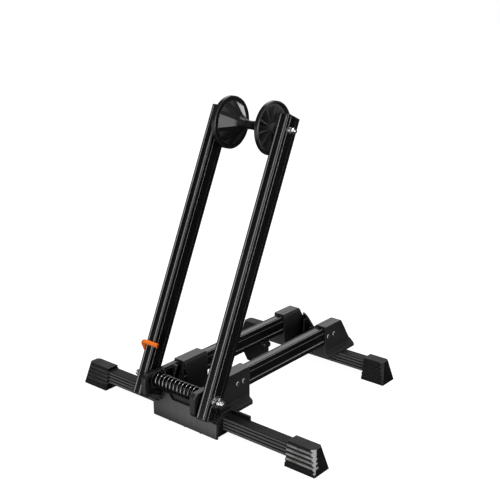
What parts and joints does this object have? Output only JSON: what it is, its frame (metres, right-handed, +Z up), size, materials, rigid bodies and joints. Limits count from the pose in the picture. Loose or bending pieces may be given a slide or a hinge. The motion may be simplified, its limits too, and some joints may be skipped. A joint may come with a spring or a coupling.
{
  "type": "bike repair stand",
  "caption": "Rear-hub bicycle stand: a rail base on ribbed rubber feet and two leaning, spring-closed poles with cones that grip the wheel's axle ends.",
  "frame": {"origin": "on the floor, under the middle of the stand's overall box", "axes": "+X along the crossbars to the stand's right, +Y to the back, where the poles lean, +Z up"},
  "size_m": [0.443, 0.3776, 0.4481],
  "materials": {
    "moulding": "fine spark-eroded grain",
    "anodised": "black anodised, semi-gloss",
    "bar_black": "black anodised, satin",
    "cone_plastic": "gloss",
    "cap_plastic": "satin",
    "foot_rubber": "matt",
    "zinc": "bright plated",
    "black_steel": "black oxide",
    "spring_steel": "dark oiled",
    "sleeve_vinyl": "gloss orange vinyl",
    "knob_plastic": "gloss"
  },
  "bodies": {
    "base": {"front_cradle": "moulding", "rear_cradle": "moulding", "left_rail": "anodised", "right_rail": "anodised", "front_bar": "bar_black", "rear_bar": "bar_black", "left_front_foot": "foot_rubber", "right_front_foot": "foot_rubber", "left_rear_foot": "foot_rubber", "right_rear_foot": "foot_rubber", "front_socket_screws": "black_steel", "rear_socket_screws": "black_steel", "tension_spring": "spring_steel", "rail_bracket": "moulding", "bracket_screw": "zinc", "bracket_knob": "knob_plastic"},
    "left_hinge": {"left_pivot_bush": "knob_plastic"},
    "left_arm": {"left_pole": "anodised", "left_pole_top_cap": "cap_plastic", "left_pole_bottom_cap": "cap_plastic", "left_pivot_bolt": "zinc", "left_pivot_washer": "zinc", "left_pivot_nut": "zinc", "left_cone_bolt": "zinc", "left_cone_spacer": "cap_plastic", "left_cone_washer": "zinc", "left_cone_nut": "zinc", "hook_pin": "zinc"},
    "left_wheel_cone": {"left_cone": "cone_plastic"},
    "right_hinge": {"right_pivot_bush": "knob_plastic"},
    "right_arm": {"right_pole": "anodised", "right_pole_top_cap": "cap_plastic", "right_pole_bottom_cap": "cap_plastic", "right_pivot_bolt": "zinc", "right_pivot_washer": "zinc", "right_pivot_nut": "zinc", "right_cone_bolt": "zinc", "right_cone_spacer": "cap_plastic", "right_cone_washer": "zinc", "right_cone_nut": "zinc"},
    "right_wheel_cone": {"right_cone": "cone_plastic"},
    "hook": {"hook_wire": "zinc", "hook_sleeve": "sleeve_vinyl"}
  },
  "joints": [
    {"name": "left_pole_fold", "type": "hinge", "parent": "base", "child": "left_hinge", "pos_m": [-0.05, -0.1646, 0.0648], "axis": [-1, 0, 0], "range_deg": [-20, 63]},
    {"name": "left_pole_splay", "type": "hinge", "parent": "left_hinge", "child": "left_arm", "pos_m": [-0.05298, -0.16959, 0.05389], "axis": [0, -0.9092, 0.4163], "range_deg": [0, 8], "stiffness_Nm_per_rad": 3, "springref_deg": -11.46},
    {"name": "left_cone_spin", "type": "hinge", "parent": "left_arm", "child": "left_wheel_cone", "pos_m": [-0.02, -0.00641, 0.41031], "axis": [1, 0, 0], "continuous": true},
    {"name": "right_pole_fold", "type": "hinge", "parent": "base", "child": "right_hinge", "pos_m": [0.05, -0.1646, 0.0648], "axis": [-1, 0, 0], "range_deg": [-20, 63]},
    {"name": "right_pole_splay", "type": "hinge", "parent": "right_hinge", "child": "right_arm", "pos_m": [0.05298, -0.16959, 0.05389], "axis": [0, 0.9092, -0.4163], "range_deg": [0, 8], "stiffness_Nm_per_rad": 3, "springref_deg": -11.46},
    {"name": "right_cone_spin", "type": "hinge", "parent": "right_arm", "child": "right_wheel_cone", "pos_m": [0.02, -0.00641, 0.41031], "axis": [1, 0, 0], "continuous": true},
    {"name": "hook_swing", "type": "hinge", "parent": "left_arm", "child": "hook", "pos_m": [-0.0726, -0.15211, 0.09208], "axis": [1, 0, 0], "range_deg": [0, 60]}
  ]
}
